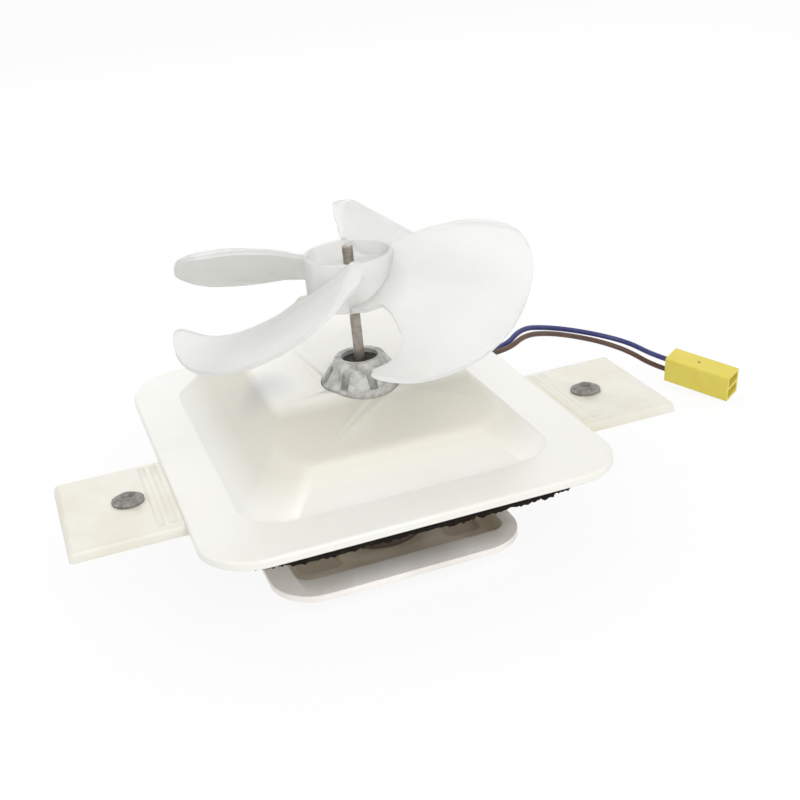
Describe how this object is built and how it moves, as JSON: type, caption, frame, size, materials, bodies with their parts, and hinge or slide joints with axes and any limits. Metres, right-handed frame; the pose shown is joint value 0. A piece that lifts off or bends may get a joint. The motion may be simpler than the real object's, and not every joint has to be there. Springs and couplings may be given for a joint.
{
  "type": "fan_motor",
  "caption": "A small shaded-pole fan motor with a fan of twisted blades above a formed flanged cover, a cross strap, a lower tray, and a wire lead that ends in a connector.",
  "frame": {"origin": "on the motor shaft's axis, in the plane that the tray's two wells stand on", "axes": "+Z along the shaft towards the fan; +X along the strap, towards the side where the wires leave; +Y towards the coil"},
  "size_m": [0.2522, 0.1478, 0.101],
  "materials": {
    "shell_plastic": "satin, milky",
    "strap_plastic": "satin, cream",
    "tray_plastic": "satin",
    "foam": "matt",
    "rubber": "matt",
    "fan_plastic": "satin, milky",
    "die_cast": "cast",
    "steel": "satin",
    "iron": "laminated",
    "copper": "satin",
    "bobbin_plastic": "matt",
    "winding": "enamelled",
    "tape": "matt",
    "bronze": "sintered",
    "felt": "matt",
    "aluminium_cage": "cast",
    "wire_blue": "satin",
    "wire_brown": "satin",
    "connector_plastic": "satin",
    "grommet": "matt"
  },
  "bodies": {
    "motor": {"top_shell": "shell_plastic", "foam_front": "foam", "foam_back": "foam", "cross_strap": "strap_plastic", "strap_screw_left": "steel", "strap_screw_right": "steel", "lower_tray": "tray_plastic", "rear_damper": "rubber", "tray_screw_front": "steel", "tray_screw_back": "steel", "stator_yoke": "iron", "stator_core": "iron", "shading_ring_front": "copper", "shading_ring_back": "copper", "coil_bobbin": "bobbin_plastic", "coil_winding": "winding", "coil_tape": "tape", "upper_bracket": "die_cast", "lower_bracket": "die_cast", "wire_blue": "wire_blue", "wire_brown": "wire_brown", "coil_lead_blue": "wire_blue", "coil_lead_brown": "wire_brown", "lead_grommet": "grommet", "connector_housing": "connector_plastic", "terminal_blue": "copper", "terminal_brown": "copper", "upper_bearing": "bronze", "upper_retainer": "steel", "upper_felt": "felt", "lower_bearing": "bronze", "lower_retainer": "steel", "lower_felt": "felt", "bracket_screw_1": "steel", "bracket_nut_1": "steel", "bracket_screw_2": "steel", "bracket_nut_2": "steel", "stack_rivet_1": "steel", "stack_rivet_2": "steel", "stack_rivet_3": "steel", "stack_rivet_4": "steel"},
    "rotor": {"shaft": "steel", "rotor_core": "iron", "rotor_cage": "aluminium_cage", "fan": "fan_plastic", "upper_collar": "steel", "lower_collar": "steel", "upper_thrust_washer": "steel", "lower_thrust_washer": "steel"}
  },
  "joints": [
    {"name": "fan_spin", "type": "hinge", "parent": "motor", "child": "rotor", "pos_m": [0, 0, 0], "axis": [0, 0, 1], "continuous": true}
  ]
}
